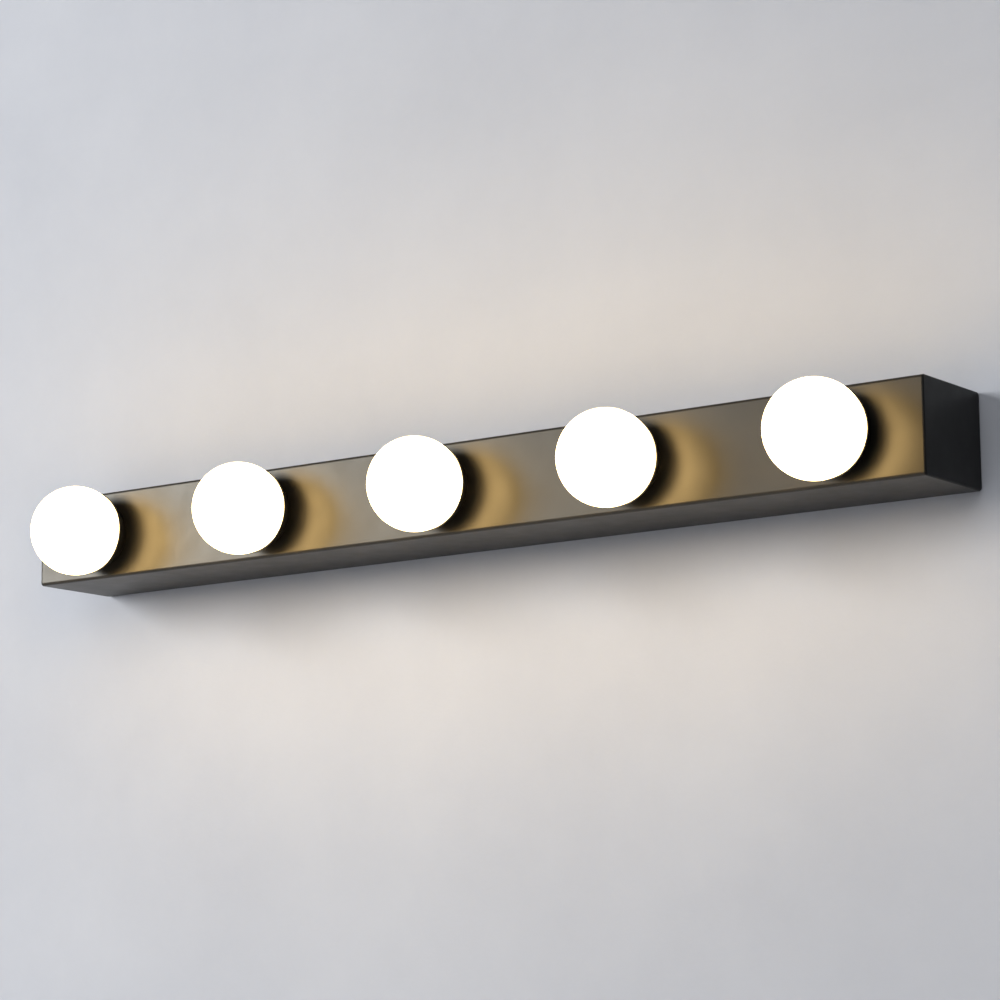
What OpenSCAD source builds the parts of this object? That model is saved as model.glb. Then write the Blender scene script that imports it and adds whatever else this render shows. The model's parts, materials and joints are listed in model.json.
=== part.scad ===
// Vanity light bar: a folded sheet-metal bar that slides over a wall bracket,
// with five opal globe bulbs screwed into recessed lampholders.
// Millimetres. X runs along the bar, Z is up, the wall is the plane y = 0 and
// the bar stands out towards -Y. The origin is the centre of the bracket's back.

/* [Bar] */
// Length of the bar over its end plates
bar_length = 700; // [690:1:760]
// Height of the bar
bar_height = 60; // [60:0.5:66]
// Depth of the bar from the wall to its front face
bar_depth = 70; // [70:0.5:80]
// Thickness of the bar's sheet
sheet = 1.2; // [1.0:0.1:1.4]
// Outside radius of the front bends
bend_radius = 2.2; // [1.5:0.1:3]

/* [Globes] */
// Distance between neighbouring globes
globe_pitch = 146; // [145:1:150]
// Diameter of a globe
globe_diameter = 61; // [60:0.5:62]
// Distance of a globe's centre in front of the bar
globe_standoff = 27.2; // [27:0.1:27.6]
// Wall thickness of a globe
globe_wall = 1.3; // [0.8:0.1:1.6]

/* [Lampholders] */
// Radius of the holes in the front face
front_hole_r = 20.3; // [20.2:0.05:20.6]
// Radius of the collars at their rim
collar_r = 28.3; // [26:0.1:28.6]
// Radius of the collars where they sit on the bar
collar_foot_r = 21.9; // [21.6:0.1:23]
// Gap between a globe and its collar
collar_gap = 0.4; // [0.35:0.05:0.8]
// Pitch of the lamp thread
lamp_pitch = 3.629; // [3.5:0.001:3.7]

/* [Wall bracket] */
// Length of the bracket
bracket_length = 560; // [520:1:600]
// Thickness of the bracket's sheet
bracket_sheet = 1.5; // [1.2:0.1:1.8]
// Depth of the bracket's flanges
flange_depth = 16; // [15:0.5:17]
// Distance between the wall screw slots
slot_spacing = 400; // [380:1:420]
// Width of a wall screw slot
slot_width = 5.2; // [4.4:0.1:6]
// Overall length of a wall screw slot
slot_length = 16; // [12:1:24]
// Radius of the cable hole in the bracket
cable_hole_r = 10; // [9:0.5:12]
// Radius of the cable's way through the grommet
cable_r = 4.5; // [3.5:0.1:5.5]

/* [Fixing screws] */
// Distance of each fixing screw from the middle of the bar
fixing_x = 240; // [232:1:248]
// Distance of the fixing screws from the wall
fixing_y = 9.5; // [9:0.1:10.5]

/* [Wiring] */
// Outside radius of an insulated wire
wire_r = 1.15; // [0.9:0.05:1.3]
// Number of flats round a wire
wire_sides = 8; // [8:2:12]

/* [Hidden] */

L = bar_length;
H = bar_height;
D = bar_depth;
t = sheet;
half_in = H / 2 - t;              // inside half height of the bar
channel_half = L / 2 - t;         // the channel ends under the end plates
back_gap = 0.6;                   // the channel stops short of the wall
R = globe_diameter / 2;
bt = bracket_sheet;
bracket_half_h = half_in - 0.3;   // the bracket's flanges sit just inside the bar
lamps = [for (i = [0:4]) (i - 2) * globe_pitch];
black = [0.06, 0.06, 0.055];
steel = [0.62, 0.64, 0.66];
brass = [0.80, 0.65, 0.35];
opal = [1.0, 0.97, 0.90];
porcelain = [0.12, 0.12, 0.12];

// terminal block and studs, measured from the middle of the bay they stand in
block_x = globe_pitch / 2;
block_w = 29;
block_h = 19;
block_d = 12.6;
pole = 9.6;
stud_x = block_x + pole / 2;
earth_x = block_x + 37;
panel_y = -D + t;                 // inside face of the front panel

// points on an arc
function arc(cx, cy, r, a0, a1, n) =
  [for (i = [0:n]) let (a = a0 + (a1 - a0) * i / n) [cx + r * cos(a), cy + r * sin(a)]];

// outline of a channel open towards +y: front at y0, back at y1, outside half height h
function channel_outline(y0, y1, h, th, ro) = concat(
  [[y1, -h]], arc(y0 + ro, -h + ro, ro, 270, 180, 6),
  arc(y0 + ro, h - ro, ro, 180, 90, 6), [[y1, h], [y1, h - th]],
  arc(y0 + ro, h - ro, ro - th, 90, 180, 6),
  arc(y0 + ro, -h + ro, ro - th, 180, 270, 6), [[y1, -h + th]]);

// extrude a (y, z) outline along X
module along_x(x0, x1) {
  translate([x0, 0, 0]) rotate([90, 0, 90]) linear_extrude(x1 - x0) children();
}

// local +z points out of the front face, z = 0 on the face
module on_front(x, z = 0) {
  translate([x, -D, z]) rotate([90, 0, 0]) children();
}

// tube through a list of points
function unit(v) = v / norm(v);
function smooth(p) = concat([p[0]],
  [for (i = [0:len(p) - 2]) each [0.75 * p[i] + 0.25 * p[i + 1], 0.25 * p[i] + 0.75 * p[i + 1]]],
  [p[len(p) - 1]]);
function tangents(p) = [for (i = [0:len(p) - 1])
  unit((i < len(p) - 1 ? unit(p[i + 1] - p[i]) : [0, 0, 0])
     + (i > 0 ? unit(p[i] - p[i - 1]) : [0, 0, 0]))];
function normals(g, n, i = 0) = i == len(g) ? [] :
  let (m = unit(n - (n * g[i]) * g[i])) concat([m], normals(g, m, i + 1));
module tube(path, r, k) {
  g = tangents(path);
  n = normals(g, unit(cross(g[0], [0.31, 0.87, 0.39])));
  c = len(path);
  pts = [for (i = [0:c - 1]) let (b = cross(g[i], n[i])) each
    [for (j = [0:k - 1]) path[i] + r * (cos(360 * j / k) * n[i] + sin(360 * j / k) * b)]];
  faces = concat([[for (j = [0:k - 1]) j]],
    [for (i = [0:c - 2]) each [for (j = [0:k - 1]) each
      [[i * k + j, (i + 1) * k + j, (i + 1) * k + (j + 1) % k],
       [i * k + j, (i + 1) * k + (j + 1) % k, i * k + (j + 1) % k]]]],
    [[for (j = [k - 1:-1:0]) (c - 1) * k + j]]);
  polyhedron(points = pts, faces = faces, convexity = 6);
}

// hexagon nut or screw head, af across flats, from z = 0
module hexagon(af, h) { cylinder(h = h, r = af / sqrt(3), $fn = 6); }

// ---- the bar ----------------------------------------------------------

module bar_channel() color(black) difference() {
  along_x(-channel_half, channel_half)
    polygon(channel_outline(-D, -back_gap, H / 2, t, bend_radius));
  for (x = lamps) on_front(x) translate([0, 0, -t - 1]) cylinder(h = t + 2, r = front_hole_r, $fn = 96);
  for (x = [-fixing_x, fixing_x]) translate([x, -fixing_y, half_in - 1]) cylinder(h = t + 2, r = 2.25, $fn = 32);
}

// end plate outline: small radii at the front, larger ones at the wall
plate_outline = concat(
  arc(-D + bend_radius, -H / 2 + bend_radius, bend_radius, 270, 180, 6),
  arc(-D + bend_radius, H / 2 - bend_radius, bend_radius, 180, 90, 6),
  arc(-2.4, H / 2 - 2.4, 2.4, 90, 0, 6),
  arc(-2.4, -H / 2 + 2.4, 2.4, 0, -90, 6));
// the plate's flange runs round inside the channel
module end_plate() {
  along_x(L / 2 - t, L / 2) polygon(plate_outline);
  along_x(L / 2 - t - 10, L / 2 - t + 0.01)
    polygon(channel_outline(-D + t + 0.1, -4, half_in - 0.1, t, t + 0.3));
}
module end_plate_right() color(black) end_plate();
module end_plate_left() color(black) mirror([1, 0, 0]) end_plate();

// Z-shaped tabs welded under the top wall; the bracket's flange slides in above their leaf
tab_leaf_z = bracket_half_h - bt - 0.3;
tab_boss_r = 3.2;
module clamp_tabs() color(steel) for (x = [-fixing_x, fixing_x]) difference() {
  union() {
    along_x(x - 8, x + 8) polygon([
      [-flange_depth - 16, half_in], [-flange_depth - 16, half_in - 1.5],
      [-flange_depth - 3, half_in - 1.5], [-flange_depth - 3, tab_leaf_z - 1.5],
      [-4, tab_leaf_z - 1.5], [-4, tab_leaf_z], [-flange_depth - 1.5, tab_leaf_z],
      [-flange_depth - 1.5, half_in]]);
    translate([x, -fixing_y, tab_leaf_z - 3.3]) cylinder(h = 2, r = tab_boss_r, $fn = 32);
  }
  translate([x, -fixing_y, tab_leaf_z - 4]) cylinder(h = 6, r = 2.02, $fn = 32);
}

// ---- the wall bracket ---------------------------------------------------

module wall_bracket() color(steel) difference() {
  mirror([0, 1, 0]) along_x(-bracket_length / 2, bracket_length / 2)
    polygon(channel_outline(0, flange_depth, bracket_half_h, bt, bt + 1));
  for (s = [-1, 1]) translate([s * slot_spacing / 2, 1, 0]) rotate([90, 0, 0]) {
    for (e = [-1, 1]) translate([e * (slot_length - slot_width) / 2, 0, 0])
      cylinder(h = bt + 2, r = slot_width / 2, $fn = 32);
    translate([-(slot_length - slot_width) / 2, -slot_width / 2, 0])
      cube([slot_length - slot_width, slot_width, bt + 2]);
  }
  translate([0, 1, 0]) rotate([90, 0, 0]) cylinder(h = bt + 2, r = cable_hole_r, $fn = 64);
  translate([-60, 1, -12]) rotate([90, 0, 0]) cylinder(h = bt + 2, r = 2.05, $fn = 32);
  // open slots in the top flange for the fixing screws
  for (x = [-fixing_x, fixing_x]) {
    translate([x, -fixing_y, bracket_half_h - bt - 1]) cylinder(h = bt + 2, r = 2.3, $fn = 32);
    translate([x - 2.3, -flange_depth - 1, bracket_half_h - bt - 1]) cube([4.6, flange_depth + 1 - fixing_y, bt + 2]);
  }
}

// snap bushing, flush with the bracket's back
module cable_grommet() color([0.08, 0.08, 0.08]) rotate([90, 0, 0]) rotate_extrude($fn = 64)
  polygon([[cable_r, 0], [cable_hole_r - 0.1, 0], [cable_hole_r - 0.1, bt], [cable_hole_r + 2.4, bt],
           [cable_hole_r + 2.4, bt + 1.4], [cable_hole_r + 1.8, bt + 2], [cable_r + 1.2, bt + 3],
           [cable_r + 0.4, bt + 3], [cable_r, bt + 2.6]]);

// pan-head screw with a cross slot, head under side at z = 0, pointing down
module pan_screw(shank_r, shank_l, head_r, head_h, slot_w) difference() {
  union() {
    rotate_extrude($fn = 48) polygon([[0, -shank_l], [shank_r - 0.5, -shank_l], [shank_r, -shank_l + 0.6],
      [shank_r, 0], [head_r - 0.15, 0], [head_r, 0.2], [head_r, head_h * 0.45], [head_r * 0.86, head_h * 0.78],
      [head_r * 0.6, head_h * 0.95], [head_r * 0.3, head_h], [0, head_h]]);
  }
  translate([-head_r * 0.62, -slot_w / 2, head_h * 0.4]) cube([head_r * 1.24, slot_w, head_h]);
  translate([-slot_w / 2, -head_r * 0.62, head_h * 0.4]) cube([slot_w, head_r * 1.24, head_h]);
}

module bracket_earth_screw() color(brass) translate([-60, -bt, -12]) rotate([90, 0, 0])
  pan_screw(1.95, bt - 0.2, 4, 2.4, 1.1);

// ---- fixing screws ------------------------------------------------------

washer_t = 0.8;
module fixing_screw(x) color(black) translate([x, -fixing_y, H / 2 + washer_t])
  pan_screw(1.95, 9, 3.9, 2.5, 1.1);
module fixing_washer(x) color(black) translate([x, -fixing_y, H / 2]) difference() {
  cylinder(h = washer_t, r = 4.5, $fn = 48);
  translate([0, 0, -1]) cylinder(h = washer_t + 2, r = 2.02, $fn = 32);
}
module fixing_screw_left() fixing_screw(-fixing_x);
module fixing_screw_right() fixing_screw(fixing_x);
module fixing_washer_left() fixing_washer(-fixing_x);
module fixing_washer_right() fixing_washer(fixing_x);

// ---- lampholders ----------------------------------------------------------

// rounded thread profile between heights z0 and z1: n waves from root to crest
function thread(root, crest, z0, z1) = let (n = round(abs(z1 - z0) / lamp_pitch * 6))
  [for (i = [0:n]) [(root + crest) / 2 - (crest - root) / 2 * cos(60 * i), z0 + (z1 - z0) * i / n]];

module lampholder_body() rotate_extrude($fn = 96) polygon([
  [18.7, 2.6], [19.7, 2.6], [20, 2.3], [20, -t], [23, -t], [23, -t - 2.5], [20, -t - 2.5],
  [20, -10], [17, -14], [17, -43], [16, -44], [0, -44], [0, -38.8], [12, -38.8], [12, -34.2],
  [14.4, -34.2], [14.4, -9.8]]);
module lampholder_bodies() color(porcelain) for (x = lamps) on_front(x) difference() {
  lampholder_body();
  for (s = [-1, 1]) translate([9 * s, 0, -44.5]) cylinder(h = 4.5, r = 1.6, $fn = 24);
  // channels for the leads from the terminals to the shell and the centre contact
  translate([-9, 0, -42]) cylinder(h = 4, r = 0.8, $fn = 24);
}

// collar: a cup threaded over the holder's mouth, which follows the globe inside
function lip(r) = globe_standoff - sqrt(pow(R + collar_gap, 2) - r * r);
rim_a = lip(collar_r - 0.55) - 0.1;
module lampholder_collars() color(black) for (x = lamps) on_front(x) rotate_extrude($fn = 128)
  polygon(concat([[20.1, 0], [collar_foot_r - 0.3, 0], [collar_foot_r, 0.4],
    [collar_foot_r + 1.4, 4.2], [collar_foot_r + 3.2, 7.4], [collar_r, rim_a - 0.5], [collar_r - 0.3, rim_a]],
    [for (i = [0:12]) let (r = collar_r - 0.55 - (collar_r - 20.85) * i / 12) [r, lip(r)]],
    [[20.1, lip(20.3) - 0.4]]));

function inward(p, th) = [for (i = [len(p) - 1:-1:0]) [p[i][0] - th, p[i][1]]];
shell_wave = thread(13.85, 14.25, -13.2, -33.0);
module lampholder_shells() color(brass) for (x = lamps) on_front(x) rotate_extrude($fn = 64)
  polygon(concat(
    [[13.8, -12.6], [14.2, -12.6]], shell_wave,
    [[14.2, -33.9], [12.2, -33.9], [12.2, -33.5], [13.6, -33.5]],
    inward(shell_wave, 0.35)));

// spring leaf under the bulb's contact, bent up from the holder's floor
module lampholder_contacts() color(brass) for (x = lamps) on_front(x)
  rotate([90, 0, 0]) translate([0, 0, -3.5]) linear_extrude(7) polygon([
    [-10, -38.8], [-6, -38.8], [-2.6, -37.95], [2.6, -37.95], [5, -38.5], [5.4, -38.1],
    [2.8, -37.45], [-2.8, -37.45], [-6.2, -38.3], [-10, -38.3]]);

module lampholder_terminal_screws() color(brass) for (x = lamps, s = [-1, 1])
  on_front(x) translate([9 * s, 0, -46.4]) rotate([180, 0, 0]) pan_screw(1.5, 5.4, 3, 2, 0.9);

// ---- terminal block, studs and earth lug ----------------------------------

module at_pole(i) { translate([block_x + (i - 1) * pole, panel_y + 6.8, 0]) children(); }
module terminal_block() color([0.92, 0.92, 0.90]) difference() {
  union() {
    translate([block_x - block_w / 2, panel_y, -block_h / 2 + 2.5]) cube([block_w, 4, block_h - 5]);
    translate([block_x - block_w / 2 + 0.6, panel_y + 3, -block_h / 2]) cube([block_w - 1.2, block_d - 3, block_h]);
  }
  for (i = [0:2]) at_pole(i) {
    translate([0, 0, -8.6]) cylinder(h = 17.2, r = 2.65, $fn = 32);
    translate([0, 0, -11]) cylinder(h = 22, r = 1.9, $fn = 32);
    for (s = [-1, 1]) translate([0, 0, 4.6 * s]) rotate([-90, 0, 0]) cylinder(h = 8, r = 1.75, $fn = 24);
  }
  translate([stud_x, panel_y - 1, 0]) rotate([-90, 0, 0]) cylinder(h = block_d + 2, r = 1.6, $fn = 24);
  translate([stud_x, panel_y - 1, 0]) rotate([-90, 0, 0]) cylinder(h = 1.9, r = 2.6, $fn = 32);   // clears the stud's weld foot
  // grooves between the poles
  for (s = [-1, 1]) translate([block_x + s * pole / 2 - 0.5, panel_y + block_d - 2, (s > 0 ? 4 : -block_h / 2 - 1)])
    cube([1, 3, (s > 0 ? block_h / 2 - 3 : block_h + 2)]);
}
module terminal_inserts() color(brass) for (i = [0:2]) at_pole(i) difference() {
  translate([0, 0, -8.4]) cylinder(h = 16.8, r = 2.6, $fn = 32);
  translate([0, 0, -9]) cylinder(h = 18, r = 1.5, $fn = 32);
  for (s = [-1, 1]) translate([0, 0, 4.6 * s]) rotate([-90, 0, 0]) cylinder(h = 4, r = 1.25, $fn = 24);
}
module terminal_screws() color(steel) for (i = [0:2], s = [-1, 1]) at_pole(i)
  translate([0, 0.9, 4.6 * s]) rotate([-90, 0, 0]) difference() {
    cylinder(h = 4.2, r = 1.2, $fn = 24);
    translate([-2, -0.2, 3.4]) cube([4, 0.4, 2]);
  }

module stud(x, l) translate([x, panel_y, 0]) rotate([-90, 0, 0])
  rotate_extrude($fn = 32) polygon([[0, 0], [2.2, 0], [2.2, 0.35], [1.45, 0.5], [1.45, l - 0.5], [1, l], [0, l]]);
module weld_studs() color(steel) { stud(stud_x, block_d + 3.4); stud(earth_x, 8); }
module stud_nut(x, d) translate([x, panel_y + d, 0]) rotate([-90, 0, 0]) difference() {
  hexagon(5.5, 2.4);
  translate([0, 0, -1]) cylinder(h = 5, r = 1.5, $fn = 24);
}
module stud_nuts() color(steel) { stud_nut(stud_x, block_d); stud_nut(earth_x, 1.5); }
module earth_lug() color(brass) difference() {
  union() {
    translate([earth_x, panel_y + 0.6, 0]) rotate([-90, 0, 0]) cylinder(h = 0.9, r = 3.6, $fn = 48);
    translate([earth_x - 1.9, panel_y + 0.6, 2]) cube([3.8, 0.9, 4]);
    translate([earth_x, panel_y + 1.9, 5.2]) cylinder(h = 4.4, r = 1.7, $fn = 32);
  }
  translate([earth_x, panel_y - 1, 0]) rotate([-90, 0, 0]) cylinder(h = 5, r = 2.3, $fn = 24);
  translate([earth_x, panel_y + 1.9, 6]) cylinder(h = 5, r = 1.2, $fn = 32);
}

// ---- wiring ---------------------------------------------------------------

// z of the runs, and the plane of the lampholders' terminals
run_z = 21;
term_y = -D + 45.3;
// from a lampholder's terminal to the next one's: s = 1 above, -1 below
module span(x0, x1, s) tube(smooth([
  [x0 + 1.5, term_y, 3.6 * s], [x0 + 1.5, term_y, 9 * s], [x0 + 4, term_y + 2, 15 * s],
  [x0 + 16, term_y + 4.5, run_z * s], [x0 + 34, term_y + 5, run_z * s],
  [x1 - 34, term_y + 5, run_z * s], [x1 - 16, term_y + 4.5, run_z * s],
  [x1 - 4, term_y + 2, 15 * s], [x1 - 1.5, term_y, 9 * s], [x1 - 1.5, term_y, 3.6 * s]]), wire_r, wire_sides);
// from a lampholder's terminal to the mouth of a pole; e = 1 if the block is to the right
module tail(x0, px, e, s) tube(smooth([
  [x0 + 1.5 * e, term_y, 3.6 * s], [x0 + 1.5 * e, term_y, 9 * s], [x0 + 4 * e, term_y + 2, 15 * s],
  [x0 + 16 * e, term_y + 4.5, run_z * s], [px - 26 * e, term_y + 4, run_z * s],
  [px - 10 * e, term_y - 2, run_z * s], [px - 3 * e, term_y - 14, run_z * s],
  [px - 1.25 * e, panel_y + 12, (run_z - 1) * s], [px - 1.25 * e, panel_y + 6.8, 15 * s],
  [px - 1.25 * e, panel_y + 6.8, 9.8 * s]]), wire_r, wire_sides);

live_x = [for (x = lamps) x - 9];
neutral_x = [for (x = lamps) x + 9];
module live_wires() color([0.45, 0.25, 0.12]) {
  span(live_x[0], live_x[1], 1);
  span(live_x[1], live_x[2], 1);
  tail(live_x[2], block_x - pole, 1, 1);
  tail(live_x[3], block_x - pole, -1, 1);
  span(live_x[3], live_x[4], 1);
}
module neutral_wires() color([0.12, 0.25, 0.60]) {
  span(neutral_x[0], neutral_x[1], -1);
  span(neutral_x[1], neutral_x[2], -1);
  tail(neutral_x[2], block_x, 1, -1);
  tail(neutral_x[3], block_x, -1, -1);
  span(neutral_x[3], neutral_x[4], -1);
}
module earth_wire() color([0.35, 0.60, 0.15]) tube(smooth([
  [block_x + pole, panel_y + 6.8, 9.8], [block_x + pole, panel_y + 6.8, 14],
  [block_x + pole + 4, panel_y + 7, 18], [block_x + pole + 13, panel_y + 6, 20],
  [earth_x - 6, panel_y + 4, 18.5], [earth_x, panel_y + 2.4, 14.5],
  [earth_x, panel_y + 1.9, 9.8]]), wire_r, wire_sides);

// ---- bulbs ----------------------------------------------------------------

neck_r = 17.6;
seat = globe_standoff - sqrt(R * R - neck_r * neck_r);   // where the globe meets the neck
Ri = R - globe_wall;
lip_r = 15.2;
lip_a = asin(lip_r / Ri);
module globe() color(opal) rotate_extrude($fn = 128) difference() {
  union() {
    difference() {
      translate([0, globe_standoff]) circle(r = R, $fn = 128);
      translate([-R - 1, -R]) square([R + 1, 3 * R + globe_standoff]);
      translate([-1, -R]) square([R + 2, R + seat]);
    }
    translate([lip_r, 0.5]) square([1.2, seat + 1.5]);
  }
  translate([0, globe_standoff]) circle(r = Ri, $fn = 128);
  translate([-1, -R]) square([lip_r + 1, R + globe_standoff]);
}
module neck() color([0.93, 0.93, 0.92]) rotate_extrude($fn = 96) polygon([
  [16.5, seat - 0.05], [neck_r, seat - 0.05], [neck_r, 1.2], [14, -9.5], [13.5, -10.2], [12, -10.2],
  [12, -14], [10.8, -14], [10.8, -10.4], [12.6, -8.6], [14.6, -2.4], [14.6, -1.1], [15.3, -1.1], [15.3, 0.3],
  [16.5, 0.3]]);
module led_board() color([0.95, 0.95, 0.92]) {
  translate([0, 0, -1.0]) cylinder(h = 1.2, r = 14.9, $fn = 64);
  for (a = [0:45:315]) rotate([0, 0, a]) translate([8.6, -1.75, 0.1]) cube([2.8, 3.5, 0.8]);
  translate([-2.1, -3, 0.1]) cube([4.2, 6, 1.4]);
}
module driver_board() color([0.10, 0.35, 0.18]) {
  translate([-8.6, -0.5, -29]) cube([17.2, 1, 26.5]);
  translate([-3.6, 4, -14]) cylinder(h = 9, r = 3.6, $fn = 32);
  translate([0.9, 0.4, -14]) cube([6, 5, 6]);
  translate([-4, 2.6, -25]) cylinder(h = 7, r = 2.4, $fn = 32);
  translate([1, 0.4, -27]) cube([5, 3.2, 7]);
  translate([-6, -2.4, -24]) cube([10, 2, 8]);
}
cap_wave = thread(12.45, 13.15, -12.2, -30.9);
module screw_cap() color([0.80, 0.80, 0.80]) rotate_extrude($fn = 96) polygon(concat(
  [[13.6, -10.3], [13.9, -10.6], [13.9, -11], [13.3, -11.4], [12.8, -11.7]], cap_wave,
  [[12.6, -31.8], [12, -32.6], [11.6, -32.6], [11.6, -31.5]],
  inward(cap_wave, 0.35), [[12.45, -11.6], [13.4, -11], [13.5, -10.7]]));
module insulator() color([0.05, 0.05, 0.07]) rotate_extrude($fn = 64) polygon([
  [2.05, -31.1], [11.4, -31.1], [11.55, -31.3], [11.55, -32.6], [11.0, -33.0], [5.6, -35.7], [4.9, -35.8], [2.05, -35.8]]);
module contact() color(brass) rotate_extrude($fn = 48) polygon([
  [0, -37.4], [3.6, -37.4], [4.5, -37.0], [4.7, -36.4], [4.7, -35.8], [2, -35.8], [2, -30.4], [0, -30.4]]);

bar_channel();
end_plate_left();
end_plate_right();
clamp_tabs();
wall_bracket();
cable_grommet();
bracket_earth_screw();
fixing_screw_left();
fixing_screw_right();
fixing_washer_left();
fixing_washer_right();
lampholder_bodies();
lampholder_collars();
lampholder_shells();
lampholder_contacts();
lampholder_terminal_screws();
terminal_block();
terminal_inserts();
terminal_screws();
weld_studs();
stud_nuts();
earth_lug();
live_wires();
neutral_wires();
earth_wire();
on_front(lamps[0]) globe();  // bulb_1_globe
on_front(lamps[0]) neck();  // bulb_1_neck
on_front(lamps[0]) led_board();  // bulb_1_led_board
on_front(lamps[0]) driver_board();  // bulb_1_driver_board
on_front(lamps[0]) screw_cap();  // bulb_1_screw_cap
on_front(lamps[0]) insulator();  // bulb_1_insulator
on_front(lamps[0]) contact();  // bulb_1_contact
on_front(lamps[1]) globe();  // bulb_2_globe
on_front(lamps[1]) neck();  // bulb_2_neck
on_front(lamps[1]) led_board();  // bulb_2_led_board
on_front(lamps[1]) driver_board();  // bulb_2_driver_board
on_front(lamps[1]) screw_cap();  // bulb_2_screw_cap
on_front(lamps[1]) insulator();  // bulb_2_insulator
on_front(lamps[1]) contact();  // bulb_2_contact
on_front(lamps[2]) globe();  // bulb_3_globe
on_front(lamps[2]) neck();  // bulb_3_neck
on_front(lamps[2]) led_board();  // bulb_3_led_board
on_front(lamps[2]) driver_board();  // bulb_3_driver_board
on_front(lamps[2]) screw_cap();  // bulb_3_screw_cap
on_front(lamps[2]) insulator();  // bulb_3_insulator
on_front(lamps[2]) contact();  // bulb_3_contact
on_front(lamps[3]) globe();  // bulb_4_globe
on_front(lamps[3]) neck();  // bulb_4_neck
on_front(lamps[3]) led_board();  // bulb_4_led_board
on_front(lamps[3]) driver_board();  // bulb_4_driver_board
on_front(lamps[3]) screw_cap();  // bulb_4_screw_cap
on_front(lamps[3]) insulator();  // bulb_4_insulator
on_front(lamps[3]) contact();  // bulb_4_contact
on_front(lamps[4]) globe();  // bulb_5_globe
on_front(lamps[4]) neck();  // bulb_5_neck
on_front(lamps[4]) led_board();  // bulb_5_led_board
on_front(lamps[4]) driver_board();  // bulb_5_driver_board
on_front(lamps[4]) screw_cap();  // bulb_5_screw_cap
on_front(lamps[4]) insulator();  // bulb_5_insulator
on_front(lamps[4]) contact();  // bulb_5_contact
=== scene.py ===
import bpy, bmesh, json, math
from mathutils import Vector, Matrix

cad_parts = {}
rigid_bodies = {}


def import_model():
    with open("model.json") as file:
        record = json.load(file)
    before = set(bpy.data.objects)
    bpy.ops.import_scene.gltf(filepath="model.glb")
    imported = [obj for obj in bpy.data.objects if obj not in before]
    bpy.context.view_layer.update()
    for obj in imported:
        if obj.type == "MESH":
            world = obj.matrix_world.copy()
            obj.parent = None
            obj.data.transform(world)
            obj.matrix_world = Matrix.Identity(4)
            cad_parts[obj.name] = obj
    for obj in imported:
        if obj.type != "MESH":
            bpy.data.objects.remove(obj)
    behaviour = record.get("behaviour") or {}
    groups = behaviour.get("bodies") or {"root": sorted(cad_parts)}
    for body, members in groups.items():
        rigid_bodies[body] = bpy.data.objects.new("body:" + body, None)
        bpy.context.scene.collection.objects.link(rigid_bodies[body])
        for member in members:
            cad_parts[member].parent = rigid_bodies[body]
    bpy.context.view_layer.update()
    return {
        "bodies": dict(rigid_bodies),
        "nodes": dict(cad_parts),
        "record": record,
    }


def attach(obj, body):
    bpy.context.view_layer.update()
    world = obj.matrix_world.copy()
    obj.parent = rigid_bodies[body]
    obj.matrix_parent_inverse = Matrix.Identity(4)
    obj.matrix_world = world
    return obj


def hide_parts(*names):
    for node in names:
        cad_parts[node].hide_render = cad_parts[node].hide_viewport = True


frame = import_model()
MM = 0.001
PITCH = 146.0
XS = [(i - 2) * PITCH for i in range(5)]
L, H, D, T = 700.0, 60.0, 70.0, 1.2

# ---------------------------------------------------------------- camera
scene = bpy.context.scene
cam_data = bpy.data.cameras.new("camera")
cam = bpy.data.objects.new("camera", cam_data)
scene.collection.objects.link(cam)
right = Vector((0.8118655, 0.5837727, -0.0091554))
down = Vector((-0.1071170, 0.1335183, -0.9852405))
fwd = Vector((-0.5739340, 0.8008635, 0.1709309))
m = Matrix.Identity(4)
for r in range(3):
    m[r][0], m[r][1], m[r][2] = right[r], -down[r], -fwd[r]
m.translation = Vector((1.2164136, -1.7015803, -0.3600862))
cam.matrix_world = m
cam_data.sensor_width = 36.0
cam_data.lens = 3223.09 * 36.0 / 1000.0
cam_data.clip_start, cam_data.clip_end = 0.05, 60.0
scene.camera = cam


# ---------------------------------------------------------------- nodes
def new_mat(name):
    mat = bpy.data.materials.new(name)
    mat.use_nodes = True
    nt = mat.node_tree
    nt.nodes.clear()
    out = nt.nodes.new("ShaderNodeOutputMaterial")
    bsdf = nt.nodes.new("ShaderNodeBsdfPrincipled")
    nt.links.new(bsdf.outputs[0], out.inputs[0])
    return mat, nt, bsdf


def noise(nt, scale, detail=4.0, rough=0.55, stretch=None, coord=None):
    if coord is None:
        coord = nt.nodes.new("ShaderNodeTexCoord").outputs["Object"]
    if stretch:
        mp = nt.nodes.new("ShaderNodeMapping")
        mp.inputs["Scale"].default_value = stretch
        nt.links.new(coord, mp.inputs["Vector"])
        coord = mp.outputs["Vector"]
    n = nt.nodes.new("ShaderNodeTexNoise")
    n.inputs["Scale"].default_value = scale
    n.inputs["Detail"].default_value = detail
    n.inputs["Roughness"].default_value = rough
    nt.links.new(coord, n.inputs["Vector"])
    return n.outputs["Fac"]


def ramp(nt, fac, stops):
    r = nt.nodes.new("ShaderNodeValToRGB")
    el = r.color_ramp.elements
    while len(el) < len(stops):
        el.new(0.5)
    for e, (p, c) in zip(el, stops):
        e.position = p
        e.color = (*c, 1.0) if len(c) == 3 else c
    nt.links.new(fac, r.inputs["Fac"])
    return r.outputs["Color"]


def remap(nt, fac, lo, hi, a=0.3, b=0.7):
    r = nt.nodes.new("ShaderNodeMapRange")
    r.inputs["From Min"].default_value = a
    r.inputs["From Max"].default_value = b
    r.inputs["To Min"].default_value = lo
    r.inputs["To Max"].default_value = hi
    nt.links.new(fac, r.inputs["Value"])
    return r.outputs["Result"]


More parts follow.
